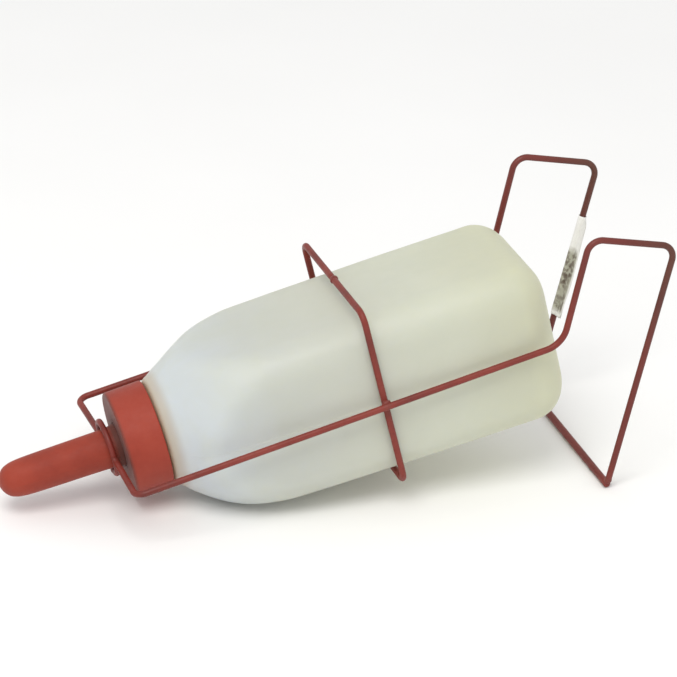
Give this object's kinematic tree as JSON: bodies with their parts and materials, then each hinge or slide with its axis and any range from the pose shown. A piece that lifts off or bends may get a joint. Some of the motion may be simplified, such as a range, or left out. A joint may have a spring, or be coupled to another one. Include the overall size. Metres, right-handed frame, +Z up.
{
  "type": "calf feeding bottle in wire hanging rack",
  "caption": "Square milky bottle with a red screw collar and long rubber teat, held nose-down in a red bent-wire rack with a teat ring, a body band and two board hooks.",
  "frame": {"origin": "bottom centre of the bounding box, on the surface that the rack rests on", "axes": "+X along the bottle from the teat towards the hooks, level; +Y across the rack to the side that carries the paper tag; +Z up"},
  "size_m": [0.4144, 0.1402, 0.1746],
  "materials": {
    "coated_wire": "glossy brick-red coating on round steel wire",
    "weld_bead": "lumpy weld under the same red coating",
    "milky_plastic": "translucent natural polyethylene, satin",
    "red_rubber": "matte brick-red rubber",
    "red_cap": "matte brick-red moulding",
    "paper_tag": "folded paper tag with grey blotches and no text"
  },
  "bodies": {
    "rack": {"frame_wire_left": "coated_wire", "frame_wire_right": "coated_wire", "rear_cross_wire": "coated_wire", "teat_ring": "coated_wire", "body_band": "coated_wire", "weld_ring_left": "weld_bead", "weld_ring_right": "weld_bead", "weld_band_left": "weld_bead", "weld_band_right": "weld_bead", "weld_band_seam": "weld_bead", "weld_rear_left": "weld_bead", "weld_rear_right": "weld_bead", "label_tag": "paper_tag"},
    "bottle": {"bottle": "milky_plastic"},
    "teat": {"teat": "red_rubber"},
    "cap": {"cap": "red_cap"}
  },
  "joints": [
    {"name": "bottle_slide", "type": "slide", "parent": "rack", "child": "bottle", "axis": [0.9705, 0, 0.2413], "range_m": [0, 0.45]},
    {"name": "teat_lift", "type": "slide", "parent": "bottle", "child": "teat", "axis": [-0.9725, 0.018, -0.232], "range_m": [0, 0.0034]},
    {"name": "cap_turn", "type": "hinge", "parent": "teat", "child": "cap", "pos_m": [-0.12328, -0.00067, 0.04061], "axis": [-0.9725, 0.018, -0.232], "range_deg": [0, 300]}
  ],
  "couplings": [
    {"joint": "teat_lift", "follows": "cap_turn", "m_per_rad": 0.00063662}
  ]
}
